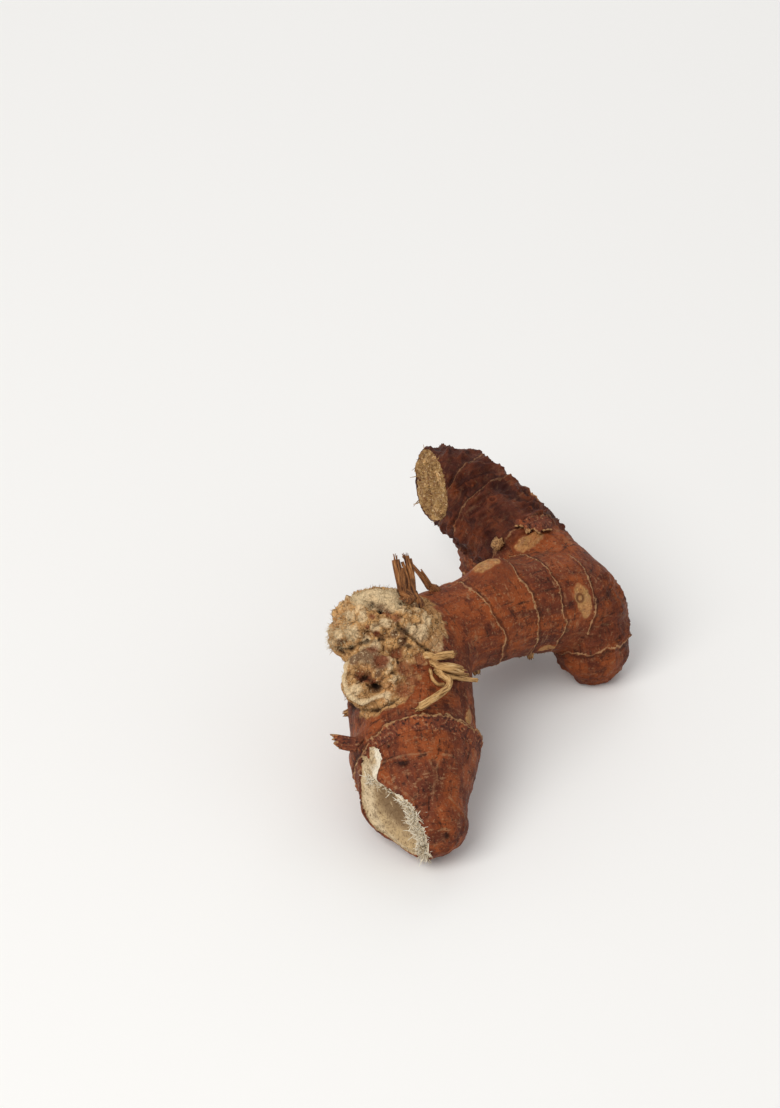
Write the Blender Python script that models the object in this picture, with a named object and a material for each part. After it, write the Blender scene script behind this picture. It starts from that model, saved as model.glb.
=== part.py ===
"""A dried galangal rhizome, lying as it rests on a table.

The rhizome grew as one piece and is one solid: a front leg chopped across on its left side, a
corky stem stump above it, a ringed arm that doubles back into a wrinkled rear limb with a torn
end, and two short branches that it stands on. Dry rootlets and papery scale leaves still hang on
it, each one a solid of its own. Units are metres, +Z is up, and the origin is on the table under
the middle of the whole thing.
"""

import math

import bmesh
import bpy
from mathutils import Matrix, Vector
from mathutils.bvhtree import BVHTree

MM = 0.001

# Clear gap between the rhizome and what grows on it.
GAP = 0.35 * MM

# Limbs of the rhizome: x, y, z of the centre line and the radius there, in mm.
LEG = (
    (-13.8, -56.2, 9.8, 9.4),
    (-15.7, -49.6, 12.2, 12.8),
    (-16.9, -41.9, 14.4, 15.3),
    (-17.5, -37.6, 15.5, 16.5),
    (-17.6, -36.0, 15.8, 15.6),
    (-17.9, -30.0, 17.2, 15.7),
    (-18.3, -20.3, 20.0, 15.7),
    (-18.0, -9.2, 24.0, 15.0),
)
STUMP = (
    (-19.8, -13.1, 27.0, 12.0),
    (-23.0, -14.8, 33.0, 12.0),
    (-27.9, -15.2, 37.0, 10.3),
)
STUMP_LOW = ((-21.0, -18.5, 28.0, 11.0), (-24.7, -26.2, 30.0, 8.5))
BUD_TOP = ((-25.0, -10.2, 40.0, 5.0), (-26.2, -12.0, 42.0, 4.6))
BUD_LEFT = ((-31.8, -18.9, 37.0, 6.0), (-33.6, -20.1, 37.0, 5.0))
BUD_LOW = ((-29.6, -29.1, 31.0, 6.5), (-30.3, -29.9, 31.0, 5.5))
ARM = (
    (-18.0, -9.9, 24.5, 13.5),
    (-9.7, -2.5, 25.5, 11.8),
    (-0.5, 3.5, 25.0, 11.6),
    (8.1, 11.0, 23.5, 12.5),
    (14.9, 15.6, 22.0, 13.1),
    (20.1, 18.4, 20.5, 12.9),
    (23.3, 19.8, 19.5, 12.2),
)
REAR = (
    (22.7, 18.5, 19.5, 12.0),
    (19.3, 23.6, 21.5, 11.8),
    (14.7, 28.7, 23.5, 11.4),
    (9.7, 35.8, 26.0, 11.2),
    (3.9, 44.2, 28.0, 10.8),
    (-2.5, 51.6, 29.5, 10.6),
    (-7.7, 55.2, 30.5, 10.4),
    (-14.1, 56.8, 30.8, 9.2),
)
FOOT_RIGHT = ((26.7, 19.2, 18.0, 10.3), (28.6, 15.1, 8.8, 9.9))
FOOT_REAR = ((2.4, 49.5, 26.0, 9.5), (3.4, 47.0, 15.0, 8.4), (3.9, 45.5, 6.8, 7.9))
LIMBS = (LEG, STUMP, STUMP_LOW, BUD_TOP, BUD_LEFT, BUD_LOW, ARM, REAR, FOOT_RIGHT, FOOT_REAR)

# How the limbs are melted into one skin.
LIMB_SIDES = 20
STEPS_PER_STATION = 4
DOME_ANGLES = (25, 50, 70, 84)
SKIN_VOXEL = 1.2 * MM
SKIN_SMOOTHING = 5
SKIN_KEPT_FACES = 0.26

# Flat cuts: a point in the plane, and the way out of the rhizome.
CHOP_POINT = Vector((-29.4, -47.1, 24.9)) * MM
CHOP_OUT = Vector((-0.774, -0.629, 0.069))
TEAR_POINT = Vector((-10.7, 51.9, 39.5)) * MM
TEAR_OUT = Vector((-0.936, -0.319, 0.156))
CHOP_BLOCK = 60 * MM
TEAR_BLOCK = 44 * MM
TABLE_BLOCK = 160 * MM

# Rootlets: x, y, z of the centre line and the radius there, in mm, from the root outwards.
TUFT = (
    ((-13.7, -24.2, 34.9, 0.7), (-12.2, -24.6, 35.3, 0.7), (-10.2, -23.9, 35.2, 0.8), (-8.1, -22.5, 34.6, 0.8)),
    ((-12.7, -26.2, 34.0, 0.8), (-11.0, -27.6, 34.5, 0.9), (-8.8, -27.6, 34.2, 1.0), (-5.9, -25.7, 31.9, 0.9)),
    ((-10.5, -26.4, 32.7, 0.4), (-8.8, -26.7, 32.2, 0.4), (-6.6, -25.6, 30.8, 0.4), (-4.3, -23.1, 28.5, 0.35)),
    ((-9.6, -28.1, 31.6, 0.5), (-7.6, -27.3, 30.8, 0.5), (-5.4, -25.9, 29.5, 0.5), (-2.0, -24.0, 27.5, 0.4)),
    ((-13.6, -28.7, 33.5, 0.4), (-13.1, -31.2, 33.5, 0.4), (-11.8, -32.6, 33.0, 0.4), (-10.3, -32.1, 32.5, 0.4)),
    ((-11.5, -28.3, 32.8, 0.7), (-10.1, -30.3, 33.5, 0.8), (-9.0, -32.1, 33.5, 0.8), (-9.7, -34.9, 33.4, 0.9),
     (-12.1, -38.3, 33.9, 1.0), (-14.3, -40.2, 33.6, 1.1), (-16.5, -41.4, 32.7, 1.1)),
)
CROTCH = (
    ((-20.1, -13.2, 44.6, 1.1), (-20.7, -12.2, 47.2, 1.0), (-21.3, -10.7, 49.8, 0.9), (-22.0, -8.4, 52.9, 0.8)),
    ((-17.8, -11.6, 43.4, 0.8), (-18.1, -10.4, 46.0, 0.8), (-18.5, -8.6, 49.0, 0.7), (-19.6, -6.0, 52.2, 0.6)),
    ((-13.2, 1.4, 36.0, 0.6), (-14.7, 2.4, 38.2, 0.6), (-17.4, 4.4, 41.0, 0.5), (-20.2, 6.6, 43.2, 0.4)),
)
ROOTLET_SIDES = 8

# Scale leaves: the edge that holds on, and the free edge, as points near the skin, in mm.
FLAP_HELD = ((8.9, 31.2, 36.3), (11.7, 32.8, 36.7), (15.2, 35.4, 35.8), (18.2, 33.6, 34.6))
FLAP_FREE = ((8.8, 29.2, 35.5), (11.6, 27.5, 35.2), (14.9, 26.9, 34.9), (17.8, 28.8, 34.6))
FLAKE_HELD = ((-29.9, -43.2, 24.4), (-30.6, -42.9, 22.9), (-31.2, -42.6, 21.3), (-31.7, -42.2, 19.6))
FLAKE_FREE = ((-37.4, -41.4, 24.6), (-37.3, -41.4, 23.2), (-36.7, -41.5, 21.7), (-35.6, -41.6, 20.2))
COLLAR_HELD = (
    (-26.8, -46.9, 24.6), (-23.8, -46.9, 26.7), (-19.4, -46.0, 28.8), (-14.3, -45.2, 29.0),
    (-9.8, -44.2, 27.7), (-6.1, -43.5, 24.8), (-3.6, -42.2, 21.4), (-2.4, -40.8, 17.6),
)
COLLAR_FREE = (
    (-28.2, -44.8, 24.9), (-25.4, -44.2, 27.6), (-20.0, -43.0, 30.4), (-14.6, -42.2, 30.7),
    (-9.7, -40.9, 29.2), (-5.6, -40.0, 25.9), (-3.0, -38.2, 22.3), (-1.9, -37.2, 18.2),
)
FLAP_LIFT = 0.8 * MM
FLAKE_LIFT = 2.0 * MM
COLLAR_LIFT = 0.6 * MM
LEAF_THICK = 0.6 * MM
LEAF_ROWS = 4

# Points between two stations on a rootlet or along a leaf's edge.
CURVE_STEPS = 3

# Colours, linear, and roughness of the three surfaces.
BARK_COLOUR = (0.26, 0.075, 0.032)
BARK_ROUGHNESS = 0.75
STRAW_COLOUR = (0.62, 0.42, 0.22)
STRAW_ROUGHNESS = 0.7
PAPER_COLOUR = (0.42, 0.2, 0.1)
PAPER_ROUGHNESS = 0.8


def clear_scene():
    """Remove whatever the opened file holds."""
    for old in list(bpy.data.objects):
        bpy.data.objects.remove(old, do_unlink=True)


def finish(name, colour, roughness):
    """A dry, dull plant surface in one colour."""
    material = bpy.data.materials.new(name)
    material.use_nodes = True
    shader = material.node_tree.nodes["Principled BSDF"]
    shader.inputs["Base Color"].default_value = (*colour, 1.0)
    shader.inputs["Roughness"].default_value = roughness
    shader.inputs["Metallic"].default_value = 0.0
    return material


def add_object(name, bm, material):
    """Turn a bmesh into a smooth-shaded object with its material."""
    bmesh.ops.recalc_face_normals(bm, faces=bm.faces)
    mesh = bpy.data.meshes.new(name)
    bm.to_mesh(mesh)
    bm.free()
    mesh.shade_smooth()
    mesh.materials.append(material)
    made = bpy.data.objects.new(name, mesh)
    bpy.context.scene.collection.objects.link(made)
    return made


def curve_through(stations, steps):
    """Catmull-Rom points through the stations, each a centre and a radius in metres."""
    rows = [Vector(station) * MM for station in stations]
    rows = [rows[0]] + rows + [rows[-1]]
    run = []
    for before, start, end, after in zip(rows, rows[1:], rows[2:], rows[3:]):
        for step in range(steps):
            t = step / steps
            point = 0.5 * (
                2 * start + (end - before) * t + (2 * before - 5 * start + 4 * end - after) * t * t
                + (3 * start - before - 3 * end + after) * t ** 3
            )
            run.append((Vector(point[:3]), point[3]))
    run.append((Vector(rows[-1][:3]), rows[-1][3]))
    return run


def dome(last, inner):
    """Shrinking stations that round off a run past its last one."""
    centre, radius = last
    away = (centre - inner[0]).normalized()
    angles = [math.radians(angle) for angle in DOME_ANGLES]
    return [(centre + away * radius * math.sin(a), radius * math.cos(a)) for a in angles]


def add_tube(bm, run, sides):
    """Circles square to the run, bridged into a tube with both ends filled."""
    side = Vector((0.3, 0.2, 1.0))
    last_ring = None
    for i, (centre, radius) in enumerate(run):
        ahead = run[min(i + 1, len(run) - 1)][0] - run[max(i - 1, 0)][0]
        ahead.normalize()
        side = (side - ahead * side.dot(ahead)).normalized()
        turn = Matrix((side, ahead.cross(side), ahead)).transposed().to_4x4()
        circle = bmesh.ops.create_circle(
            bm, cap_ends=False, segments=sides, radius=radius, matrix=Matrix.Translation(centre) @ turn
        )
        ring = list({edge for vertex in circle["verts"] for edge in vertex.link_edges})
        if i in (0, len(run) - 1):
            bmesh.ops.contextual_create(bm, geom=ring)
        if last_ring:
            bmesh.ops.bridge_loops(bm, edges=last_ring + ring)
        last_ring = ring


def add_cutter(name, size, matrix):
    """A hidden block that a Boolean takes away."""
    bm = bmesh.new()
    bmesh.ops.create_cube(bm, size=size, matrix=matrix)
    mesh = bpy.data.meshes.new(name)
    bm.to_mesh(mesh)
    bm.free()
    cutter = bpy.data.objects.new(name, mesh)
    bpy.context.scene.collection.objects.link(cutter)
    cutter.hide_render = True
    cutter.display_type = "WIRE"
    return cutter


def block_beyond(name, point, out, size):
    """A cutter whose inner face lies in the plane through a point, square to the way out."""
    out = out.normalized()
    turn = out.to_track_quat("Z", "Y").to_matrix().to_4x4()
    return add_cutter(name, size, Matrix.Translation(point + out * size / 2) @ turn)


def make_rhizome():
    """All limbs melted into one skin, then chopped, torn and levelled where it stands."""
    bm = bmesh.new()
    for limb in LIMBS:
        run = curve_through(limb, STEPS_PER_STATION)
        run = dome(run[0], run[1])[::-1] + run + dome(run[-1], run[-2])
        add_tube(bm, run, LIMB_SIDES)
    rhizome = add_object("rhizome", bm, finish("dried_bark", BARK_COLOUR, BARK_ROUGHNESS))
    skin = rhizome.modifiers.new("melt", "REMESH")
    skin.mode = "VOXEL"
    skin.voxel_size = SKIN_VOXEL
    soften = rhizome.modifiers.new("soften", "SMOOTH")
    soften.iterations = SKIN_SMOOTHING
    soften.factor = 0.5
    thin = rhizome.modifiers.new("thin", "DECIMATE")
    thin.ratio = SKIN_KEPT_FACES
    thin.use_collapse_triangulate = True
    cutters = (
        block_beyond("chop_cutter", CHOP_POINT, CHOP_OUT, CHOP_BLOCK),
        block_beyond("tear_cutter", TEAR_POINT, TEAR_OUT, TEAR_BLOCK),
        block_beyond("table_cutter", Vector((0, 0, 0)), Vector((0, 0, -1)), TABLE_BLOCK),
    )
    for cutter in cutters:
        cut = rhizome.modifiers.new(cutter.name, "BOOLEAN")
        cut.operation = "DIFFERENCE"
        cut.solver = "EXACT"
        cut.object = cutter
    return rhizome


def bark_of(rhizome):
    """The finished skin, to lay other pieces on."""
    return BVHTree.FromObject(rhizome, bpy.context.evaluated_depsgraph_get())


def lifted(bark, point, height):
    """The place at least a height above the skin, straight out from it."""
    foot, out, _face, distance = bark.find_nearest(point)
    inside = (point - foot).dot(out) < 0
    if inside or distance < height:
        return foot + out * height
    return point


def make_rootlet(name, bark, stations, material):
    """One dry strand, kept clear of the skin along its whole length."""
    run = curve_through(stations, CURVE_STEPS)
    run = [(lifted(bark, centre, radius + GAP), radius) for centre, radius in run]
    bm = bmesh.new()
    add_tube(bm, run, ROOTLET_SIDES)
    return add_object(name, bm, material)


def make_leaf(name, bark, held, free, free_lift, material):
    """A thin scale: one edge holds on to the skin and the other stands off by at least free_lift."""
    held_run = curve_through([(*point, 0.0) for point in held], CURVE_STEPS)
    free_run = curve_through([(*point, 0.0) for point in free], CURVE_STEPS)
    bm = bmesh.new()
    grid = bmesh.ops.create_grid(bm, x_segments=len(held_run) - 1, y_segments=LEAF_ROWS, size=1.0)
    columns = sorted(grid["verts"], key=lambda vertex: (round(vertex.co.x, 4), vertex.co.y))
    for i, vertex in enumerate(columns):
        column, row = divmod(i, LEAF_ROWS + 1)
        t = row / LEAF_ROWS
        between = held_run[column][0].lerp(free_run[column][0], t)
        vertex.co = lifted(bark, between, GAP + free_lift * t * t)
    top = bmesh.ops.extrude_face_region(bm, geom=bm.faces[:], use_keep_orig=True)
    for vertex in top["geom"]:
        if isinstance(vertex, bmesh.types.BMVert):
            _foot, out, _face, _distance = bark.find_nearest(vertex.co)
            vertex.co += out * LEAF_THICK
    return add_object(name, bm, material)


def build():
    """Make the rhizome first, then lay the rootlets and leaves on its skin."""
    clear_scene()
    rhizome = make_rhizome()
    bark = bark_of(rhizome)
    straw = finish("dry_rootlet", STRAW_COLOUR, STRAW_ROUGHNESS)
    for number, stations in enumerate(TUFT, 1):
        make_rootlet(f"tuft_rootlet_{number}", bark, stations, straw)
    for number, stations in enumerate(CROTCH, 1):
        make_rootlet(f"crotch_rootlet_{number}", bark, stations, straw)
    papery = finish("papery_scale", PAPER_COLOUR, PAPER_ROUGHNESS)
    make_leaf("scale_flap", bark, FLAP_HELD, FLAP_FREE, FLAP_LIFT, papery)
    make_leaf("scale_flake", bark, FLAKE_HELD, FLAKE_FREE, FLAKE_LIFT, papery)
    make_leaf("scale_collar", bark, COLLAR_HELD, COLLAR_FREE, COLLAR_LIFT, papery)


build()
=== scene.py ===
import math
import random

import bmesh
import bpy
from mathutils import Matrix, Vector, noise
from mathutils.bvhtree import BVHTree
from mathutils.kdtree import KDTree


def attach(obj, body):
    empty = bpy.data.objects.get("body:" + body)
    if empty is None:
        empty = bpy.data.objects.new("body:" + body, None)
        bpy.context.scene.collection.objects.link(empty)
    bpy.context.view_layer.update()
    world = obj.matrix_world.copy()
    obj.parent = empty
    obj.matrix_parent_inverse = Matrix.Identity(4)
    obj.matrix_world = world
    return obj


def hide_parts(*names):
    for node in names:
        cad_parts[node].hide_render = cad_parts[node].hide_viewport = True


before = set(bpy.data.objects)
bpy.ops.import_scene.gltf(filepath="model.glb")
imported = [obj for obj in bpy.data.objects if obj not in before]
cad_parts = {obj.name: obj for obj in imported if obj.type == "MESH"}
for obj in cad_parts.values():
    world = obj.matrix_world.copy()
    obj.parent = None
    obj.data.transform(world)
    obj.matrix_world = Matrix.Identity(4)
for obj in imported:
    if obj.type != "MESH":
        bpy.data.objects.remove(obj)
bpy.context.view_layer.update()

# The camera looks down at 36 degrees, as the photograph was taken, through a long lens. One point
# of the root is known in both: its place in mm, and the pixel of the 780 x 1108 picture it shows at.
MM = 0.001
LOOK_DOWN = math.radians(36)
KNOWN_POINT = Vector((-1.0, -8.4, 24.0))
KNOWN_PIXEL = (480, 653)
MIDDLE_PIXEL = (390, 554)
CAMERA_AWAY = 900
MM_PER_PIXEL = 0.25
PICTURE_HEIGHT = 1108
SENSOR = 36
FOCAL_PIXELS = CAMERA_AWAY / MM_PER_PIXEL

view_right = Vector((1, 0, 0))
view_up = Vector((0, math.sin(LOOK_DOWN), math.cos(LOOK_DOWN)))
view_back = Vector((0, -math.cos(LOOK_DOWN), math.sin(LOOK_DOWN)))
camera_place = (
    KNOWN_POINT + view_back * CAMERA_AWAY
    - view_right * (KNOWN_PIXEL[0] - MIDDLE_PIXEL[0]) * MM_PER_PIXEL
    + view_up * (KNOWN_PIXEL[1] - MIDDLE_PIXEL[1]) * MM_PER_PIXEL
)
camera_turn = Matrix((view_right, view_up, view_back)).transposed().to_4x4()
camera_data = bpy.data.cameras.new("camera")
camera_data.sensor_width = SENSOR
camera_data.lens = FOCAL_PIXELS / PICTURE_HEIGHT * SENSOR
camera_data.clip_end = 50
camera = bpy.data.objects.new("camera", camera_data)
camera.matrix_world = Matrix.Translation(camera_place * MM) @ camera_turn
bpy.context.scene.collection.objects.link(camera)
bpy.context.scene.camera = camera
bpy.context.scene.view_settings.view_transform = "Standard"

# The light is a large soft box high on the left in front, a weak one on the right, and a pale
# room all round. The root lies on a plain pale table.
LIGHTS = (
    ("window", (-0.75, -0.85, 1.25), 1.1, 17.5, (1.0, 0.985, 0.96)),
    ("bounce", (1.3, -0.5, 0.7), 1.4, 1.6, (0.98, 0.99, 1.0)),
    ("rim", (0.1, 1.2, 1.0), 1.0, 4.0, (1.0, 1.0, 1.0)),
)
ROOM_LIGHT = 0.5
TABLE_WIDE = 8.0
BOARD_WHITE = "#F4F3F1"


def linear(hex_colour):
    """An sRGB hex colour as linear red, green, blue and alpha."""
    parts = [int(hex_colour[i:i + 2], 16) / 255 for i in (1, 3, 5)]
    return (*[p / 12.92 if p <= 0.04045 else ((p + 0.055) / 1.055) ** 2.4 for p in parts], 1.0)


def new_finish(name):
    """A new material and the shader of its surface."""
    finish = bpy.data.materials.new(name)
    finish.use_nodes = True
    return finish, finish.node_tree.nodes["Principled BSDF"]


def add_node(tree, kind, links=None, out=0, **settings):
    """Adds a shader node, sets its properties, fills or links its inputs, and gives one output."""
    made = tree.nodes.new("ShaderNode" + kind)
    for name, value in settings.items():
        setattr(made, name, value)
    for key, value in (links or {}).items():
        if isinstance(value, bpy.types.NodeSocket):
            tree.links.new(value, made.inputs[key])
        else:
            made.inputs[key].default_value = value
    return made.outputs[out]


for name, place, wide, power, tint in LIGHTS:
    lamp_data = bpy.data.lights.new(name, "AREA")
    lamp_data.size = wide
    lamp_data.energy = power
    lamp_data.color = tint
    lamp = bpy.data.objects.new(name, lamp_data)
    aim = Vector(place).to_track_quat("Z", "Y").to_matrix().to_4x4()
    lamp.matrix_world = Matrix.Translation(Vector(place)) @ aim
    bpy.context.scene.collection.objects.link(lamp)

room = bpy.data.worlds.new("pale_room")
room.use_nodes = True
room.node_tree.nodes["Background"].inputs["Color"].default_value = (1.0, 1.0, 1.0, 1.0)
room.node_tree.nodes["Background"].inputs["Strength"].default_value = ROOM_LIGHT
bpy.context.scene.world = room

table_mesh = bmesh.new()
bmesh.ops.create_grid(table_mesh, x_segments=1, y_segments=1, size=TABLE_WIDE / 2)
table_data = bpy.data.meshes.new("table")
table_mesh.to_mesh(table_data)
table_mesh.free()
table_finish, table_shader = new_finish("matt_white_board")
table_shader.inputs["Base Color"].default_value = linear(BOARD_WHITE)
table_shader.inputs["Roughness"].default_value = 0.9
table_data.materials.append(table_finish)
table = bpy.data.objects.new("table", table_data)
bpy.context.scene.collection.objects.link(table)

# The rhizome is one dried stem: brown bark drawn into fine lengthwise furrows, with raised node
# rings where leaves were attached, a corky stump, a chopped face and a torn end. It is made from
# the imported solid, remeshed fine, and its skin is then moved in and out by what grew there.
SKIN_VOXEL = 0.48
SHARP_FOLD = math.radians(38)
SAME_POINT = 0.002

# Centre lines of the limbs, x, y, z in mm, and the mean thickness from line to skin.
STEM_LINE = (
    (-13.8, -56.2, 9.3), (-15.7, -49.6, 12.2), (-16.9, -41.9, 14.4), (-17.8, -31.5, 16.6),
    (-18.3, -20.3, 20.0), (-17.0, -9.5, 23.5), (-9.7, -2.5, 25.5), (-0.5, 3.5, 25.0),
    (8.1, 11.0, 23.5), (14.9, 15.6, 22.0), (20.1, 19.0, 20.5), (21.5, 22.0, 20.3),
    (19.3, 25.6, 21.3), (14.7, 30.7, 23.5), (9.7, 36.8, 26.0), (3.9, 44.2, 28.0),
    (-2.5, 51.6, 29.5), (-7.7, 55.2, 30.5), (-14.1, 56.8, 30.8),
)
STUMP_LINE = ((-18.5, -13.0, 20.0), (-21.5, -14.5, 30.0), (-26.0, -15.5, 38.0), (-29.0, -16.0, 44.0))
RIGHT_FOOT_LINE = ((24.5, 20.0, 21.0), (26.7, 19.2, 18.0), (28.6, 15.1, 8.8), (29.2, 13.8, 2.0))
REAR_FOOT_LINE = ((2.0, 50.0, 29.0), (3.4, 47.0, 15.0), (3.9, 45.5, 6.8), (4.1, 45.0, 1.0))
LIMBS = ((STEM_LINE, 12.6), (STUMP_LINE, 12.5), (RIGHT_FOOT_LINE, 9.8), (REAR_FOOT_LINE, 8.3))
STEM, STUMP, RIGHT_FOOT, REAR_FOOT = range(4)

# A distance that stands for nowhere near, in mm.
FAR = 9.0

# The two flat cuts, a point and the way out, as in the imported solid. The smooth skin lies a little
# inside them. The chop is on the first stretch of the stem, and the tear on its last.
CHOP_POINT, CHOP_OUT = Vector((-29.4, -47.1, 24.9)), Vector((-0.774, -0.629, 0.069)).normalized()
TEAR_POINT, TEAR_OUT = Vector((-10.7, 51.9, 39.5)), Vector((-0.936, -0.319, 0.156)).normalized()
INSIDE_CUT = 0.35
CHOP_UNTIL, TEAR_FROM = 30, 130

# Skin is on a flat where it is no further out than this and turns at least so far the flat's way.
# The pale face of the chop goes on round its edges, where the skin turns less, to these depths
# behind its plane. Its right edge is frayed low down, over this width.
FLAT_DEEP, FLAT_FACING = 0.8, 0.85
CHOP_FACING = 0.35
CHOP_ROUNDED_LEFT, CHOP_ROUNDED_RIGHT = 0.3, 3.5
CHOP_FRAYED_BELOW, CHOP_FRAYED_WIDE = 17.5, 2.4

# The pale chopped face lies between these two edges, lines of pixels down the photograph. Beyond
# them the bark comes round on to the flat.
CHOP_LEFT_EDGE = (
    (362, 747), (360, 762), (360, 785), (360, 800), (364, 815), (374, 832), (390, 845), (410, 856),
    (426, 867),
)
CHOP_RIGHT_EDGE = (
    (376, 747), (380, 760), (377, 772), (377, 781), (384, 786), (393, 792), (402, 798), (411, 805),
    (416, 812), (418, 820), (422, 829), (426, 838), (428, 850), (430, 867),
)

# Node rings: the centre of the ring and the way along the limb there. The rest are square to
# their limb, at these distances along it in mm.
RING_PLANES = (
    ((-16.0, -40.4, 15.0), (-0.24, 0.963, 0.128)),
    ((-3.6, 1.4, 25.3), (0.66, 0.75, 0.04)),
    ((5.4, 8.7, 24.0), (0.71, 0.69, -0.12)),
    ((12.3, 13.9, 22.6), (0.77, 0.61, -0.18)),
    ((18.7, 17.9, 20.9), (0.70, 0.63, -0.33)),
    ((11.4, 34.6, 25.2), (-0.6, 0.74, 0.3)),
)
RING_RUNS = ((STEM, 133.5), (STEM, 142.5), (RIGHT_FOOT, 13.0), (REAR_FOOT, 19.0))
RING_REACH = 7.0
BLEND_SHARPNESS, LEAST_WEIGHT = 14, 0.02


def curve_points(stations, step):
    """Points at most a step apart on the smooth curve through the stations."""
    rows = [Vector(station) for station in stations]
    rows = [rows[0]] + rows + [rows[-1]]
    run = []
    for before, start, end, after in zip(rows, rows[1:], rows[2:], rows[3:]):
        count = max(1, math.ceil((end - start).length / step))
        for i in range(count):
            t = i / count
            run.append(0.5 * (
                2 * start + (end - before) * t + (2 * before - 5 * start + 4 * end - after) * t * t
                + (3 * start - before - 3 * end + after) * t ** 3
            ))
    run.append(rows[-1])
    return run


def tree_of(points):
    """A search tree over points."""
    tree = KDTree(len(points))
    for i, point in enumerate(points):
        tree.insert(point, i)
    tree.balance()
    return tree


def limb_frames(stations):
    """Along a centre line: each point, its distance run, and three directions that don't twist."""
    points = curve_points(stations, 1.0)
    across = Vector((0.3, 0.2, 1.0))
    run = 0.0
    rows = []
    for i, point in enumerate(points):
        ahead = (points[min(i + 1, len(points) - 1)] - points[max(i - 1, 0)]).normalized()
        across = (across - ahead * across.dot(ahead)).normalized()
        run += (point - points[i - 1]).length if i else 0.0
        rows.append((point, run, ahead, across, ahead.cross(across)))
    return rows


limb_rows = [limb_frames(stations) for stations, _thick in LIMBS]
limb_trees = [tree_of([row[0] for row in rows]) for rows in limb_rows]


def places_on_limbs(point):
    """For the limbs that carry a point: weight, limb, distance along, and the two offsets across."""
    found = []
    for limb, (rows, tree) in enumerate(zip(limb_rows, limb_trees)):
        _near, i, away = tree.find(point)
        found.append((away / LIMBS[limb][1], limb, i))
    nearest = min(found)[0]
    places = []
    for share, limb, i in found:
        weight = math.exp((nearest - share) * BLEND_SHARPNESS)
        if weight < LEAST_WEIGHT:
            continue
        middle, run, ahead, across, over = limb_rows[limb][i]
        arm = point - middle
        places.append((weight, limb, run + arm.dot(ahead), arm.dot(across), arm.dot(over)))
    places.sort(reverse=True)
    return places


# The smooth solid under the bark, fine enough to carry its furrows.
core_mesh = bmesh.new()
core_mesh.from_mesh(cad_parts["rhizome"].data)
bmesh.ops.remove_doubles(core_mesh, verts=core_mesh.verts, dist=SAME_POINT * MM)
crease_layer = core_mesh.edges.layers.float.new("crease_edge")
for edge in core_mesh.edges:
    if edge.is_manifold and edge.calc_face_angle() > SHARP_FOLD:
        edge[crease_layer] = 1.0
core_data = bpy.data.meshes.new("rhizome_core")
core_mesh.to_mesh(core_data)
core_mesh.free()
core = bpy.data.objects.new("rhizome_core", core_data)
bpy.context.scene.collection.objects.link(core)
rounding = core.modifiers.new("round_off", "SUBSURF")
rounding.levels = 2
rounding.render_levels = 2
weave = core.modifiers.new("fine_skin", "REMESH")
weave.mode = "VOXEL"
weave.voxel_size = SKIN_VOXEL * MM
settle = core.modifiers.new("settle", "SMOOTH")
settle.factor = 0.5
settle.iterations = 3
bpy.context.view_layer.update()
skin_data = bpy.data.meshes.new_from_object(core.evaluated_get(bpy.context.evaluated_depsgraph_get()))
skin_data.name = "rhizome_skin"
bpy.data.objects.remove(core)

skin = bmesh.new()
skin.from_mesh(skin_data)

# Beside the chopped face the leg bellies out a little further than its limb: the middle of the
# belly, its radius and how far it is drawn out, in mm.
BELLY_MIDDLE, BELLY_RADIUS = Vector((-25.0, -53.5, 8.5)), 7.5
BELLY_DRAW = Vector((-3.6, 0.0, 0.0))
chop_away = []
for vertex in skin.verts:
    arm = vertex.co / MM - BELLY_MIDDLE
    chop_away.append((vertex.co / MM - CHOP_POINT).dot(CHOP_OUT) + INSIDE_CUT)
    vertex.co += BELLY_DRAW * math.exp(-(arm.length / BELLY_RADIUS) ** 2) * MM
skin.normal_update()
smooth_bark = BVHTree.FromBMesh(skin)

# What the photograph shows is put on the bark by its pixels, and a line of them by points this
# many mm apart. A line of sight that passes the bark is brought to it in a few tries.
LINE_STEP = 0.35
SIGHT_TRIES = 12


def seen_at(pixel):
    """The place on the smooth bark, in mm, that shows at a pixel of the photograph, and the way out there."""
    ray = view_right * (pixel[0] - MIDDLE_PIXEL[0]) - view_up * (pixel[1] - MIDDLE_PIXEL[1])
    ray = (ray - view_back * FOCAL_PIXELS).normalized()
    place, out, _face, _away = smooth_bark.ray_cast(camera_place * MM, ray)
    if place is None:
        # The pixel is just off the outline: the nearest bark to its line of sight is meant.
        place = (camera_place + ray * CAMERA_AWAY) * MM
        for _try in range(SIGHT_TRIES):
            foot, out, _face, _away = smooth_bark.find_nearest(place)
            place = camera_place * MM + ray * (foot - camera_place * MM).dot(ray)
        place = foot
    return place / MM, out


def pixel_of(point):
    """The pixel of the photograph at which a place in mm shows."""
    arm = point - camera_place
    depth = -arm.dot(view_back)
    across = MIDDLE_PIXEL[0] + FOCAL_PIXELS * arm.dot(view_right) / depth
    down = MIDDLE_PIXEL[1] - FOCAL_PIXELS * arm.dot(view_up) / depth
    return across, down


def edge_at(edge, down):
    """How far across a line of pixels is at a height in the picture."""
    for (left, top), (right, bottom) in zip(edge, edge[1:]):
        if top <= down < bottom:
            return left + (right - left) * (down - top) / (bottom - top)
    return None


def chop_place(point):
    """How far inside the left and the right edge of the chopped face a place shows, in mm."""
    across, down = pixel_of(point)
    left, right = edge_at(CHOP_LEFT_EDGE, down), edge_at(CHOP_RIGHT_EDGE, down)
    if left is None:
        return (1.0, FAR) if down > CHOP_LEFT_EDGE[-1][1] else (-FAR, FAR)
    ragged = 0.45 * wave(point, 1.6) + 0.3 * wave(point, 0.8, 3.0)
    return (across - left) * MM_PER_PIXEL + ragged, (right - across) * MM_PER_PIXEL + ragged


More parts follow.
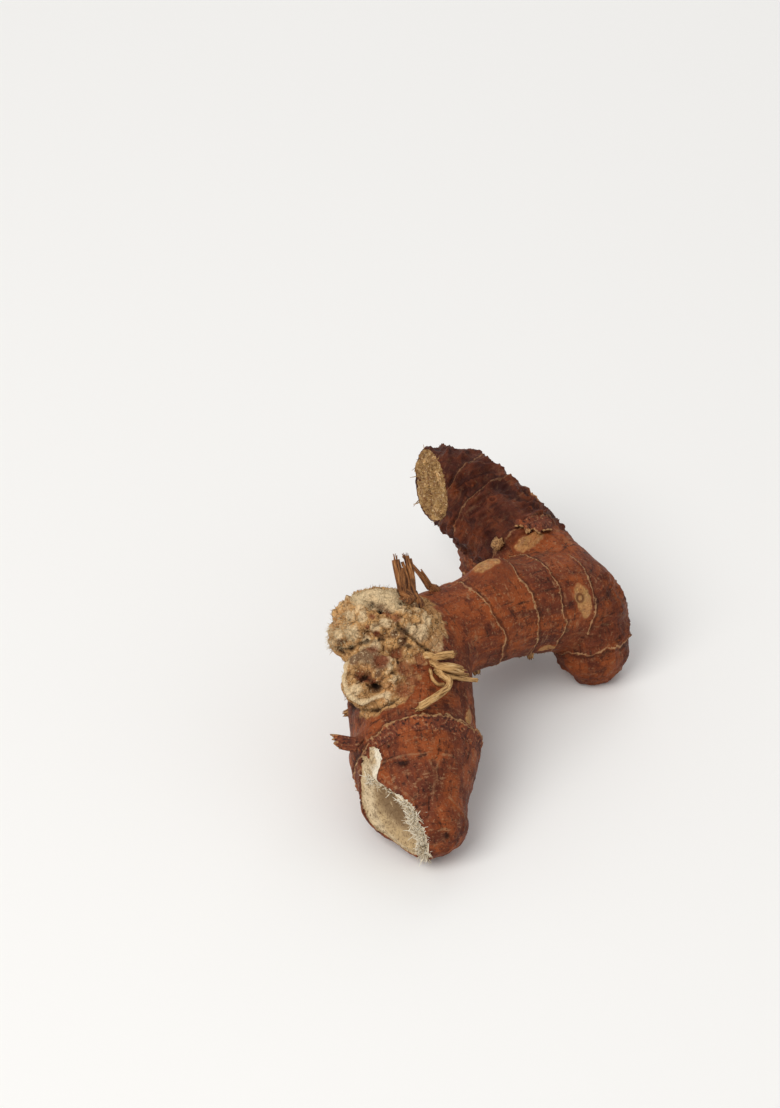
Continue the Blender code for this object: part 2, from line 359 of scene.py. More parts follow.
def seen_line(pixels):
    """Points along a line drawn over the bark through pixels."""
    corners = [seen_at(pixel)[0] for pixel in pixels]
    return curve_points(corners, LINE_STEP)


def nearest_on(surface, point):
    """The place on a surface nearest to a point, both in mm, and the way out of it there."""
    foot, out, _face, _away = surface.find_nearest(point * MM)
    return foot / MM, out


# Cracks and folds of the skin as lines of pixels, with the depth in mm; they are sunk, and painted dark as
# painted shade.
CRACKS = (
    (0.9, ((334, 648), (344, 650), (353, 647), (362, 643), (373, 641), (384, 640))),
    (0.8, ((398, 624), (405, 630), (415, 640), (422, 646), (432, 655))),
    (0.5, ((408, 628), (411, 638))),
    (0.5, ((397, 657), (398, 666), (396, 672))),
    (0.5, ((383, 641), (384, 652))),
    (0.5, ((352, 672), (360, 674), (368, 677), (376, 684))),
    (0.4, ((345, 676), (352, 672))),
    (0.5, ((431, 784), (430, 797), (428, 816))),
    (0.35, ((416, 806), (422, 818), (428, 816))),
    (0.35, ((440, 822), (448, 836), (458, 840))),
    (0.3, ((428, 729), (428, 739))),
    (0.3, ((439, 748), (438, 756), (433, 760))),
    (0.35, ((394, 762), (404, 762), (412, 759))),
    (0.4, ((401, 712), (412, 708), (424, 706), (430, 703))),
    (0.4, ((432, 656), (433, 668), (440, 681))),
    (0.4, ((366, 611), (376, 609), (392, 611), (410, 611))),
    (0.9, ((343, 698), (352, 706), (364, 710), (376, 709), (388, 705), (397, 699))),
    (0.4, ((348, 620), (356, 625), (366, 628), (374, 634))),
    (0.4, ((360, 640), (366, 632), (377, 626), (388, 618))),
    (0.4, ((384, 628), (390, 638), (388, 650))),
)
# Pale raised wrinkles as lines of pixels, with the height in mm.
WRINKLES = (
    (0.3, ((381, 763), (393, 759), (406, 755), (419, 754), (431, 752))),
    (0.3, ((429, 760), (433, 770), (434, 784), (432, 800))),
    (0.25, ((440, 758), (436, 770), (438, 786))),
    (0.3, ((448, 797), (457, 806), (464, 818), (464, 830))),
    (0.25, ((384, 778), (394, 786), (404, 792), (413, 800))),
    (0.3, ((486, 460), (495, 467), (499, 476), (497, 487))),
    (0.3, ((499, 468), (506, 477), (511, 482), (508, 489))),
    (0.3, ((514, 500), (523, 494), (527, 494))),
    (0.3, ((470, 466), (478, 464), (484, 466))),
    (0.3, ((462, 520), (470, 512), (476, 504), (480, 494))),
    (0.3, ((531, 518), (545, 516), (554, 519), (560, 525))),
)
# Small pits: pixel, radius and depth in mm.
PITS = (
    ((388, 746), 0.45, 0.6), ((405, 763), 0.8, 0.5), ((448, 837), 0.6, 0.6), ((441, 750), 0.7, 0.5),
    ((447, 748), 0.5, 0.5), ((372, 603), 0.7, 1.2), ((382, 607), 0.6, 1.2), ((367, 602), 0.5, 0.8),
    ((376, 690), 0.95, 2.0), ((381, 688), 0.6, 1.4), ((343, 640), 0.6, 0.9), ((424, 640), 0.6, 0.5),
    ((443, 620), 0.5, 0.4), ((420, 691), 0.6, 0.5), ((391, 673), 0.6, 0.8),
)
# Hollows and bulges of the corky stump: pixel, radius in mm and height in mm.
SWELLINGS = (
    ((360, 674), 1.8, -1.5), ((368, 679), 1.8, -1.5), ((376, 689), 1.6, -1.4), ((360, 689), 2.0, 0.4),
    ((343, 672), 2.0, 0.7), ((362, 700), 2.2, 0.7), ((387, 694), 1.8, 1.1), ((392, 680), 1.6, 0.7),
    ((388, 663), 1.8, 0.9), ((370, 655), 2.6, 1.1), ((380, 669), 1.7, 0.9), ((356, 660), 1.9, 0.8),
    ((345, 634), 3.0, 1.1), ((352, 612), 2.6, 0.9), ((360, 599), 2.0, 0.7), ((376, 594), 2.6, 1.1),
    ((392, 595), 2.0, 1.2), ((375, 606), 2.2, -1.2), ((372, 625), 2.2, 0.6), ((362, 632), 1.8, -0.6),
    ((384, 628), 2.0, 0.6), ((400, 648), 3.0, -0.7), ((396, 620), 2.4, 0.5), ((420, 630), 3.0, 0.4),
    ((408, 670), 3.0, -0.6), ((484, 577), 5.0, 2.6), ((500, 570), 4.5, 2.2), ((366, 655), 2.4, 0.8),
    ((341, 653), 1.8, -1.1), ((399, 688), 2.4, -0.6), ((352, 706), 2.4, -0.8), ((384, 606), 1.4, -0.9),
)
# Stains of the skin, and painted shade in gaps and holes among the dark ones, by what shows in them: pixel
# and radius in mm.
STAINS_AND_SHADE = {
    "dark_and_shade": (
        ((377, 690), 1.3), ((351, 648), 1.2), ((340, 654), 1.6), ((393, 673), 0.9), ((401, 763), 0.8),
        ((446, 752), 0.9), ((441, 750), 0.8), ((388, 746), 0.5), ((409, 646), 1.0), ((427, 651), 1.1),
        ((432, 690), 1.6), ((436, 672), 1.3), ((448, 838), 0.9), ((398, 662), 0.9), ((400, 604), 1.1),
        ((372, 602), 0.9), ((383, 607), 0.8), ((428, 707), 1.4), ((342, 668), 0.7),
    ),
    "rust": (
        ((358, 673), 1.9), ((366, 677), 1.7), ((373, 682), 1.2), ((405, 668), 3.2), ((398, 654), 2.2),
        ((372, 616), 1.2), ((388, 612), 1.6), ((404, 690), 3.0), ((377, 634), 1.2), ((367, 627), 0.9),
        ((396, 618), 1.8), ((420, 660), 2.4), ((412, 680), 2.4), ((382, 662), 2.6), ((373, 652), 2.2),
    ),
    "grey": (
        ((368, 657), 3.2), ((379, 663), 3.0), ((356, 661), 2.0), ((394, 634), 1.4), ((403, 641), 1.8),
        ((378, 674), 1.2), ((340, 642), 1.2), ((404, 631), 1.6), ((412, 603), 2.4), ((424, 608), 2.2),
    ),
    "pale": (
        ((356, 689), 1.9), ((387, 695), 1.3), ((390, 666), 1.2), ((352, 634), 2.2), ((338, 634), 1.8),
        ((366, 640), 1.4), ((421, 632), 3.0), ((427, 620), 2.4), ((383, 596), 2.6), ((360, 600), 2.6),
        ((392, 592), 2.2), ((376, 645), 1.6), ((362, 618), 1.6), ((350, 616), 1.8), ((384, 622), 1.4),
        ((375, 628), 1.6), ((412, 628), 2.0),
    ),
    "orange": (
        ((424, 680), 2.6), ((440, 572), 6.0), ((455, 600), 5.0), ((466, 560), 5.0), ((430, 596), 4.0),
        ((468, 776), 4.5), ((456, 800), 4.0), ((520, 600), 6.0), ((560, 560), 5.0), ((470, 700), 3.0),
        ((500, 620), 4.0), ((440, 850), 3.0), ((452, 786), 4.5), ((448, 830), 4.5), ((454, 634), 4.5),
    ),
}
# Raised root scars with a hole in the middle: pixel and radius in mm.
ROOT_SCARS = (((493, 502), 1.0), ((529, 510), 0.7), ((539, 516), 0.7), ((470, 484), 0.8), ((456, 522), 0.8))
# Leaf and root scars: both ends as pixels, and the half width in mm.
SCARS = (
    ((576, 584), (587, 619), 2.5),
    ((474, 580), (500, 572), 1.9),
    ((515, 551), (544, 536), 2.2),
    ((471, 710), (467, 725), 1.3),
)
SCAR_EYE, EYE_RADIUS = (580, 598), 1.0
# Scars on the sides that the photograph doesn't show: both ends in mm, and the half width in mm.
FAR_SCARS = (
    ((-33.2, -12.0, 27.0), (-34.5, -18.5, 24.5), 1.6),
    ((13.0, 3.5, 18.0), (18.0, 6.5, 17.0), 1.5),
    ((31.0, 26.5, 22.0), (27.5, 30.5, 24.0), 1.6),
    ((14.0, 43.5, 30.0), (9.0, 49.0, 32.0), 1.5),
    ((-3.0, 62.0, 33.0), (2.5, 58.5, 31.0), 1.4),
)

# The corky stump: two balls whose union it fills, the cream crest on top of it, a bud on its left
# and the raised rim along its foot.
CORK_BALLS = ((Vector((-26.0, -15.0, 40.0)), 16.6), (Vector((-27.0, -29.5, 31.5)), 10.4))
CORK_LOWEST = 25.5
CORK_WELL_IN = 1.5
CREST_MIDDLE = Vector((-26.5, -15.5, 46.5))
CREST_HALF = Vector((7.5, 4.0, 5.0))
LEFT_BUD = (Vector((-34.0, -19.5, 38.5)), 6.0)
LOWER_RIM = ((349, 664), (345, 675), (347, 686), (352, 695), (362, 700), (374, 698), (383, 695))

ring_list = []
for centre, ahead in RING_PLANES:
    centre = Vector(centre)
    ring_list.append((STEM, centre, Vector(ahead).normalized(), places_on_limbs(centre)[0][2]))
for limb, run in RING_RUNS:
    row = min(limb_rows[limb], key=lambda sample: abs(sample[1] - run))
    ring_list.append((limb, row[0], row[2], row[1]))

crack_points, crack_depths = [], []
for depth, pixels in CRACKS:
    for point in seen_line(pixels):
        crack_points.append(point)
        crack_depths.append(depth)
crack_tree = tree_of(crack_points)
wrinkle_points, wrinkle_heights = [], []
for height, pixels in WRINKLES:
    for point in seen_line(pixels):
        wrinkle_points.append(point)
        wrinkle_heights.append(height)
wrinkle_tree = tree_of(wrinkle_points)
root_scar_list = [(seen_at(pixel)[0], radius) for pixel, radius in ROOT_SCARS]
pit_list = [(seen_at(pixel)[0], radius, depth) for pixel, radius, depth in PITS]
swelling_list = [(seen_at(pixel)[0], radius, height) for pixel, radius, height in SWELLINGS]
scar_list = []
for start, end, half in SCARS:
    scar_list.append((seen_at(start)[0], seen_at(end)[0], half))
for start, end, half in FAR_SCARS:
    feet = [nearest_on(smooth_bark, Vector(point))[0] for point in (start, end)]
    scar_list.append((feet[0], feet[1], half))
rim_tree = tree_of(seen_line(LOWER_RIM))
scar_eye = seen_at(SCAR_EYE)[0]
stain_and_shade_list = []
for name, stains_and_shade in STAINS_AND_SHADE.items():
    stain_and_shade_list.append((name, [(seen_at(pixel)[0], radius) for pixel, radius in stains_and_shade]))


def step_up(low, high, value):
    """0 below low, 1 above high, and smooth between."""
    t = min(1.0, max(0.0, (value - low) / (high - low)))
    return t * t * (3 - 2 * t)


def bell(value, width):
    """1 at nought, falling off smoothly either way."""
    return math.exp(-(value / width) ** 2)


def wave(point, size, shift=0.0):
    """Smooth noise of a feature size in mm."""
    return noise.noise(point / size + Vector((shift, shift, shift)))


def streak(along, across, over, length, width, shift=0.0):
    """Noise drawn out along the limb."""
    return noise.noise(Vector((along / length + shift, across / width, over / width)))


# How far along the stem, in mm, the leg and the plump middle end, and from where to where the rear
# limb shrinks. The leg's middle, and the way up from it: it is more wrinkled underneath.
LEG_END, PLUMP_END = 46, 104
SHRINKS_FROM, SHRINKS_TO = 99, 124
LEG_MIDDLE, LEG_UP = Vector((-17, -40, 16)), Vector((0.2, 0, 1))


def how_shrunk(point, limb, along):
    """How much the flesh shrank under the bark as it dried, from 0 for plump to 1 for all folds."""
    if limb == STUMP:
        return 0.15
    if limb != STEM:
        return 0.55
    if along < LEG_END:
        return 0.1 + 0.2 * step_up(-2, -8, (point - LEG_MIDDLE).dot(LEG_UP))
    if along < PLUMP_END:
        return 0.04 + 0.3 * step_up(8, -4, point.z)
    return step_up(SHRINKS_FROM, SHRINKS_TO, along + 6 * wave(point, 9.0, 5.0))


def grain_height(along, across, over, shrunk):
    """Furrows along the limb, and the cross folds of a stretch that shrank as it dried, in mm."""
    furrow = streak(along, across, over, 24, 2.8)
    thread = streak(along, across, over, 8, 1.1, 5.0)
    fold = 1 - abs(streak(along, across, over, 3.4, 8, 9.0))
    fine_fold = 1 - abs(streak(along, across, over, 1.7, 5, 1.0))
    pucker = streak(along, across, over, 1.3, 2.4, 3.0)
    cross = shrunk * (1.5 * fold ** 4 + 0.6 * fine_fold ** 5 - 0.6)
    return 0.2 * furrow + 0.1 * thread + cross + (0.08 + 0.18 * shrunk) * pucker


def ring_distance(point, limb, along):
    """How far a point is from the nearest node ring of its limb, along the limb, in mm."""
    nearest = FAR
    for ring_limb, centre, ahead, run in ring_list:
        if ring_limb != limb or abs(along - run) > RING_REACH:
            continue
        wobble = 1.0 * wave(point, 6.0, 2.0) + 0.6 * wave(point, 2.0, 3.0) + 0.3 * wave(point, 0.9, 4.0)
        away = (point - centre).dot(ahead) + wobble
        if abs(away) < abs(nearest):
            nearest = away
    return nearest


def scar_depth(point):
    """1 in the middle of a scar, nought on its edge, below nought outside."""
    best = -1.0
    for start, end, half in scar_list:
        middle = (start + end) / 2
        arm = point - middle
        reach = (end - start).length / 2
        if arm.length > reach + 2:
            continue
        length_way = (end - start).normalized()
        x = arm.dot(length_way) / reach
        y = (arm - length_way * arm.dot(length_way)).length / half
        ragged = 0.22 * wave(point, 1.1, 7.0)
        best = max(best, 1 - math.sqrt(x * x + y * y * (1 + 0.5 * x)) + ragged)
    return best


def cork_depth(point):
    """Depth inside the corky stump from its edge, in mm, below nought outside."""
    depth = max(radius - (point - middle).length for middle, radius in CORK_BALLS)
    depth = min(depth, (point.z - CORK_LOWEST) * 0.8)
    return depth + 1.3 * wave(point, 5.0, 1.0) + 0.9 * wave(point, 1.8, 6.0)


def cork_height(point, depth, calm):
    """Nodules, cracks, hollows and pits of the cork, in mm; calm evens them out."""
    inner = step_up(1.0, 4.5, depth) * (1 - calm)
    bent = point + Vector((wave(point, 3.0, 1.0), wave(point, 3.0, 4.0), wave(point, 3.0, 7.0))) * 1.5
    cells, _spots = noise.voronoi(bent / 2.7)
    small, _spots = noise.voronoi(bent / 1.3)
    crumbs, _spots = noise.voronoi(point / 0.95)
    nodule = 0.95 * (0.45 - cells[0]) * inner + 0.45 * (0.5 - small[0]) * (0.3 + 0.7 * inner)
    crevice = -0.7 * bell(cells[1] - cells[0], 0.09) - 0.2 * bell(small[1] - small[0], 0.1)
    split = -1.0 * bell(wave(bent, 3.0, 2.0), 0.06) * step_up(-0.1, 0.3, wave(point, 4.0, 4.0))
    lump = 1.4 * wave(point, 4.0, 3.0) * inner + 0.45 * wave(point, 1.8, 8.0)
    crumb = 0.22 * (0.5 - crumbs[0]) + 0.25 * wave(point, 0.8, 5.0)
    return nodule + (crevice + split) * inner + lump + crumb * (0.3 + 0.7 * inner)


def chop_height(point, from_right, on_flat):
    """The rough pith of the chopped face, rounded off and torn up along its right edge, in mm."""
    height = 0.25 * wave(point, 1.1) + 0.3 * wave(point, 4.0) + 0.2 * wave(point, 2.0, 4.0) - 0.2
    height -= 0.0 if on_flat else 0.7 * step_up(0.0, 1.0, from_right)
    return height + bell(from_right, 1.4) * 1.1 * wave(point, 0.9, 2.0)


def held_back(height, from_cut):
    """Nothing swells past a flat cut: near its edge the bark moves only as far as the cut lets it."""
    return height * step_up(0.3, -1.2, from_cut) if height > 0 else height


# Every vertex of the skin is moved along its own normal, and what the bark is like there is kept
# as attributes for the finish: distances in mm from rings, cracks and edges, and how aged it is.
# What stands on the table stays level.
TABLE_TOUCH = 0.25
ATTRIBUTES = (
    "ring", "crack", "wrinkle", "cork", "crest", "chop", "tear", "scar", "shrunk", "rise", "rim", "lip",
    "sunk", "eye", *STAINS_AND_SHADE,
)
layers = {name: skin.verts.layers.float.new(name) for name in ATTRIBUTES}
growth = {"ring": [], "crest": [], "cork": [], "chop_lip": [], "tear": []}
grain_layer = skin.verts.layers.float_vector.new("grain")
moves = []
for vertex in skin.verts:
    point = vertex.co / MM
    places = places_on_limbs(point)
    total = sum(place[0] for place in places)
    _weight, limb, along, across, over = places[0]
    shrunk = how_shrunk(point, limb, along)
    chop = chop_away[vertex.index]
    tear = (point - TEAR_POINT).dot(TEAR_OUT) + INSIDE_CUT
    near_chop = limb == STEM and along < CHOP_UNTIL
    near_tear = limb == STEM and along > TEAR_FROM
    on_flat = near_chop and 0 < chop < FLAT_DEEP and vertex.normal.dot(CHOP_OUT) > FLAT_FACING
    from_left, from_right = -FAR, FAR
    if near_chop and vertex.normal.dot(CHOP_OUT) > CHOP_FACING:
        from_left, from_right = chop_place(point)
    rounded_off = CHOP_ROUNDED_LEFT if from_left < from_right else CHOP_ROUNDED_RIGHT
    on_chop = from_left > 0 and from_right > 0 and chop + 0.4 * wave(point, 1.5) > -rounded_off
    on_tear = near_tear and 0 < tear < FLAT_DEEP and vertex.normal.dot(TEAR_OUT) > FLAT_FACING
    level = point.z < TABLE_TOUCH
    cork = cork_depth(point) if limb in (STUMP, STEM) else -FAR
    ring = ring_distance(point, limb, along) if cork < CORK_WELL_IN else FAR
    _near, i, crack_away = crack_tree.find(point)
    crack_deep = crack_depths[i]
    crack_away += 0.2 * wave(point, 1.3, 5.0) + 0.5 * abs(wave(point, 2.2, 1.0))
    _near, i, wrinkle_away = wrinkle_tree.find(point)
    wrinkle_high = wrinkle_heights[i]
    wrinkle_away += 0.16 * wave(point, 1.4, 8.0)
    scar = scar_depth(point)
    eye_away = (point - scar_eye).length - EYE_RADIUS
    away = point - CREST_MIDDLE
    crest = 1 - Vector((away.x / CREST_HALF.x, away.y / CREST_HALF.y, away.z / CREST_HALF.z)).length
    crest += 0.22 * wave(point, 2.5, 9.0)
    bud = 1 - (point - LEFT_BUD[0]).length / LEFT_BUD[1]
    _near, _i, rim_away = rim_tree.find(point)

    if on_chop:
        height = chop_height(point, from_right, on_flat)
    elif on_flat:
        height = 0.25 * wave(point, 2.0) + 0.15 * wave(point, 1.0) + 0.45 * bell(from_right + 1.2, 1.0)
    elif on_tear:
        height = 1.3 * wave(point, 3.0) + 0.8 * wave(point, 1.3, 2.0) - 0.3
    else:
        height = sum(p[0] * grain_height(p[2], p[3], p[4], shrunk) for p in places) / total
        height += (0.35 + 0.45 * shrunk) * wave(point, 13.0) + (0.16 + 0.2 * shrunk) * wave(point, 5.0, 2.0)
        strength = 0.65 + 0.5 * wave(point, 2.6, 3.0)
        height += strength * 0.3 * bell(ring, 0.34) - 0.2 * bell(ring - 0.9, 0.45)
        height += 0.12 * step_up(-3.5, -0.2, ring) * step_up(0.6, 0.1, ring)
        if cork > -0.6:
            smooth_part = step_up(-0.6, 2.2, cork)
            calm = max(0.7 * step_up(0.0, 0.3, crest), 0.6 * bell(rim_away, 2.0))
            height += (cork_height(point, cork, calm) - height * 0.6) * smooth_part
            height += 0.12 * bell(cork, 0.8)
        height -= crack_deep * bell(crack_away, 0.4)
        height += wrinkle_high * bell(wrinkle_away, 0.38)
        height += 0.12 * step_up(-0.1, 0.15, scar) - 0.1 * step_up(0.35, 0.9, scar)
        height -= 0.45 * bell(eye_away, 0.4)
        for middle, radius in root_scar_list:
            reach = (point - middle).length
            if reach < 3 * radius:
                height += 0.6 * bell(reach - radius, 0.4 * radius) - 0.7 * bell(reach, 0.5 * radius)
                scar = max(scar, -0.8 * abs(reach - radius) / radius + 0.1 * wave(point, 0.8))
        for middle, radius, deep in pit_list:
            reach = (point - middle).length
            if reach < 2.2 * radius + 0.6:
                height -= deep * bell(reach, radius)
        for middle, radius, high in swelling_list:
            reach = (point - middle).length
            if reach < 2.4 * radius:
                height += high * bell(reach, radius)
        height += 1.2 * bell(rim_away, 0.55) * step_up(0, 2, cork)
    if level:
        height = 0.0
    if near_chop and not on_chop and not on_flat:
        height = held_back(height, chop)
    if near_tear and not on_tear:
        height = held_back(height, tear)
    moved = point + vertex.normal * height
    moved.z = max(moved.z, 0.0)
    moves.append(moved)
    if on_chop:
        if from_right < CHOP_FRAYED_WIDE and point.z < CHOP_FRAYED_BELOW:
            growth["chop_lip"].append(vertex.index)
    elif on_tear:
        growth["tear"].append(vertex.index)
    elif crest > 0.02 or bud > 0.1:
        growth["crest"].append(vertex.index)
    elif cork > CORK_WELL_IN:
        growth["cork"].append(vertex.index)
    elif abs(ring) < 0.22 and moved.z > 1.0 and shrunk < 0.5:
        growth["ring"].append(vertex.index)
    vertex[grain_layer] = Vector((along, across, over))
    chop_value = from_left if on_chop else -0.1
    tear_value = tear if on_tear else -0.1
    values = [ring, crack_away / crack_deep * 0.5, wrinkle_away, cork, crest + 0.6 * max(0.0, bud)]
    values += [chop_value, tear_value, scar, shrunk, height, rim_away, from_right, 0.0, abs(eye_away)]
    for _name, stains_and_shade in stain_and_shade_list:
        values.append(max(1 - (point - middle).length / radius for middle, radius in stains_and_shade))
    for name, value in zip(ATTRIBUTES, values):
        vertex[layers[name]] = max(-FAR, min(FAR, value))
for vertex, moved in zip(skin.verts, moves):
    vertex.co = moved * MM

# The chopped face is dished where its soft middle dried, and its hollow is deepest near the tip.
CHOP_HOLLOWS = (
    ((380, 795), 2.6, 0.9), ((389, 808), 2.8, 1.3), ((399, 822), 2.8, 1.3), ((410, 838), 2.4, 0.9),
    ((380, 800), 8.0, 0.7),
)
for pixel, radius, deep in CHOP_HOLLOWS:
    middle = seen_at(pixel)[0]
    for vertex in skin.verts:
        reach = (vertex.co / MM - middle).length
        if vertex[layers["chop"]] > 0 and reach < 2.5 * radius:
            vertex.co -= CHOP_OUT * deep * bell(reach, radius) * MM
            vertex[layers["sunk"]] += deep * bell(reach, radius)
for face in skin.faces:
    face.smooth = True
skin.normal_update()
bark = BVHTree.FromBMesh(skin)
skin.verts.ensure_lookup_table()
spots = {}
for name, indices in growth.items():
    spots[name] = [(skin.verts[i].co / MM, skin.verts[i].normal.copy()) for i in indices]
skin.to_mesh(skin_data)
skin.free()

BARK_RED = "#6E341D"
BARK_ORANGE = "#954A21"
BARK_PLUM = "#4C2014"
BARK_DARK = "#27120B"
BARK_WINE_AND_SHADE = "#34110A"
BARK_DUST = "#A87E59"
RING_TAN = "#B88E64"
CREVICE_SHADE_BLACK = "#150C08"
CORK_TAN = "#DDAA6E"
CORK_OLIVE = "#B88B5A"
CORK_BROWN = "#6A4026"
CORK_ROSE = "#C58A56"
CREST_CREAM = "#EFD4A8"
SCAR_STRAW = "#A9824F"
CUT_CREAM = "#D0B995"
CUT_WHITE = "#F2E8D2"
CUT_STRAW = "#B4966A"
CUT_BROWN = "#6B5137"
TORN_TAN = "#A88352"
RUST_RED = "#8A4028"
CORK_GREY = "#70523C"


def coat(tree, under, over, source, low, high, top=1.0, share=None):
    """Lays a colour over another, from nothing where the source is low to its top strength at high."""
    span = {"Value": source, "From Min": low, "From Max": high, "To Max": top}
    mask = add_node(tree, "MapRange", span, interpolation_type="SMOOTHSTEP")
    if share is not None:
        mask = add_node(tree, "Math", {0: mask, 1: share}, operation="MULTIPLY")
    return add_node(tree, "Mix", {0: mask, 6: under, 7: over}, data_type="RGBA", out=2)


def lay_coats(tree, colour, known, coats):
    """Lays coats in turn: what each follows, from where to where, how strong it gets, its colour."""
    for source, low, high, top, over in coats:
        colour = coat(tree, colour, linear(over), known[source], low, high, top)
    return colour


def add_patterns(tree, sizes, vector, per_unit):
    """Noise patterns by name, each from the real size of its features in mm, its detail and roughness."""
    made = {}
    for name, (size, detail, rough) in sizes.items():
        links = {"Vector": vector, "Scale": per_unit / size, "Detail": detail, "Roughness": rough}
        made[name] = add_node(tree, "TexNoise", links, out="Fac")
    return made


# Dried rhizome bark, a thin dull cork over starchy flesh: matt, with a faint waxy gloss on the
# smooth internodes. It is brick brown, mottled orange and plum, streaked along the limb.
bark_finish, shader = new_finish("dried_rhizome_bark")
tree = bark_finish.node_tree
place = add_node(tree, "TexCoord", out="Object")
known = {}
for name in ATTRIBUTES:
    known[name] = add_node(tree, "Attribute", attribute_name=name, out="Fac")
grain = add_node(tree, "Attribute", attribute_name="grain", out="Vector")
along_grain = add_node(tree, "Mapping", {"Vector": grain, "Scale": (0.14, 1.0, 1.0)})
across_grain = add_node(tree, "Mapping", {"Vector": grain, "Scale": (1.0, 0.3, 0.3)})
BLOT_SIZES = {
    "mottle": (10.0, 4, 0.6), "blotch": (4.5, 4, 0.65), "patch": (2.0, 4, 0.65),
    "speck": (0.9, 3, 0.65), "dust": (0.45, 2, 0.6),
}
STREAK_SIZES = {"streak": (1.0, 4, 0.7), "wide_streak": (3.2, 3, 0.6)}
known.update(add_patterns(tree, BLOT_SIZES, place, 1 / MM))
known.update(add_patterns(tree, STREAK_SIZES, along_grain, 1.0))
known.update(add_patterns(tree, {"cross": (1.2, 3, 0.65)}, across_grain, 1.0))

# The cork breaks into plates of two sizes: what these two hold is the distance from their edges.
PLATE_SIZES = {"plate": 3.0, "crumb": 0.95}
PLATE_BEND, BEND_SIZE = 3.4, 2.4
bend_links = {"Vector": place, "Scale": 1 / (BEND_SIZE * MM), "Detail": 4}
plate_bend = add_node(tree, "TexNoise", bend_links, out="Color")
bent_links = {0: plate_bend, 1: (PLATE_BEND * MM,) * 3, 2: place}
bent_place = add_node(tree, "VectorMath", bent_links, operation="MULTIPLY_ADD")
for name, size in PLATE_SIZES.items():
    plate_links = {"Vector": bent_place, "Scale": 1 / (size * MM)}
    known[name] = add_node(tree, "TexVoronoi", plate_links, feature="DISTANCE_TO_EDGE")

# Bark colours, from the ground up: what they follow, from where to where, and how strongly.
colour = lay_coats(tree, linear(BARK_RED), known, (
    ("mottle", 0.44, 0.62, 0.9, BARK_ORANGE),
    ("orange", 0.0, 0.6, 0.75, BARK_ORANGE),
    ("blotch", 0.50, 0.66, 0.75, BARK_PLUM),
    ("wide_streak", 0.52, 0.68, 0.7, BARK_PLUM),
    ("streak", 0.54, 0.70, 0.75, BARK_ORANGE),
    ("mottle", 0.42, 0.32, 0.5, BARK_PLUM),
    ("patch", 0.54, 0.70, 0.25, BARK_DUST),
    ("streak", 0.44, 0.30, 0.85, BARK_DARK),
    ("cross", 0.44, 0.30, 0.75, BARK_DARK),
    ("cross", 0.58, 0.72, 0.55, BARK_DUST),
    ("speck", 0.58, 0.72, 0.5, BARK_DUST),
    ("speck", 0.42, 0.30, 0.6, BARK_DARK),
    ("dust", 0.61, 0.74, 0.5, BARK_DUST),
    ("dust", 0.38, 0.27, 0.45, BARK_DARK),
    # Where the skin sinks it is painted darker: painted shade in its hollows.
    ("rise", -0.1, -0.7, 0.8, BARK_DARK),
    ("rust", 0.0, 0.5, 0.5, BARK_DARK),
    ("pale", 0.1, 0.6, 0.8, BARK_DUST),
))
# The shrunk rear limb is painted a darker wine: its own aged colour, deepened as painted shade.
patchy = add_node(tree, "Math", {0: known["blotch"], 1: 1.65}, operation="MULTIPLY")
colour = coat(tree, colour, linear(BARK_WINE_AND_SHADE), known["shrunk"], 0.3, 1.0, 0.8, patchy)
colour = coat(tree, colour, linear(BARK_RED), known["rise"], 0.5, 1.5, 0.8, known["speck"])
# Dark stains, and painted shade in the stump's gaps and holes.
colour = coat(tree, colour, linear(BARK_DARK), known["dark_and_shade"], 0.0, 0.7, 0.8, patchy)

# Lines on the bark: the shadow beside each ring, the ring itself, pale wrinkles, and scars.
fray_links = {0: known["dust"], 1: 0.9, 2: known["ring"]}
frayed_ring = add_node(tree, "Math", fray_links, operation="MULTIPLY_ADD")
ring_from = add_node(tree, "Math", {0: frayed_ring, 1: 0.45, 2: 0.0}, operation="SUBTRACT")
ring_away = add_node(tree, "Math", {0: ring_from}, operation="ABSOLUTE")
beside_ring = add_node(tree, "Math", {0: known["ring"], 1: 0.85}, operation="SUBTRACT")
beside_away = add_node(tree, "Math", {0: beside_ring}, operation="ABSOLUTE")
broken_links = {"Value": known["patch"], "From Min": 0.42, "From Max": 0.56, "To Min": 0.4}
broken = add_node(tree, "MapRange", broken_links)
faded_links = {"Value": known["shrunk"], "From Min": 0.3, "From Max": 1.0, "To Min": 1.0, "To Max": 0.35}
faded = add_node(tree, "MapRange", faded_links)
broken = add_node(tree, "Math", {0: broken, 1: faded}, operation="MULTIPLY")
colour = coat(tree, colour, linear(BARK_DARK), beside_away, 0.6, 0.1, 0.4)
colour = coat(tree, colour, linear(RING_TAN), ring_away, 0.3, 0.1, 0.95, broken)
colour = coat(tree, colour, linear(BARK_DUST), known["wrinkle"], 0.4, 0.1, 0.45, broken)
scar_colour = lay_coats(tree, linear(SCAR_STRAW), known, (
    ("blotch", 0.42, 0.60, 0.7, CORK_ROSE),
    ("mottle", 0.48, 0.60, 0.4, BARK_ORANGE),
    ("patch", 0.50, 0.62, 0.7, BARK_DUST),
    ("speck", 0.54, 0.68, 0.7, CORK_BROWN),
    ("speck", 0.44, 0.34, 0.5, CORK_TAN),
    ("dust", 0.56, 0.70, 0.6, CORK_BROWN),
    ("scar", 0.12, 0.02, 0.6, BARK_DUST),
    ("eye", 0.5, 0.15, 0.8, CORK_BROWN),
))
colour = coat(tree, colour, linear(BARK_ORANGE), known["scar"], -0.3, 0.0, 0.35)
colour = coat(tree, colour, scar_colour, known["scar"], -0.02, 0.16, 0.85)
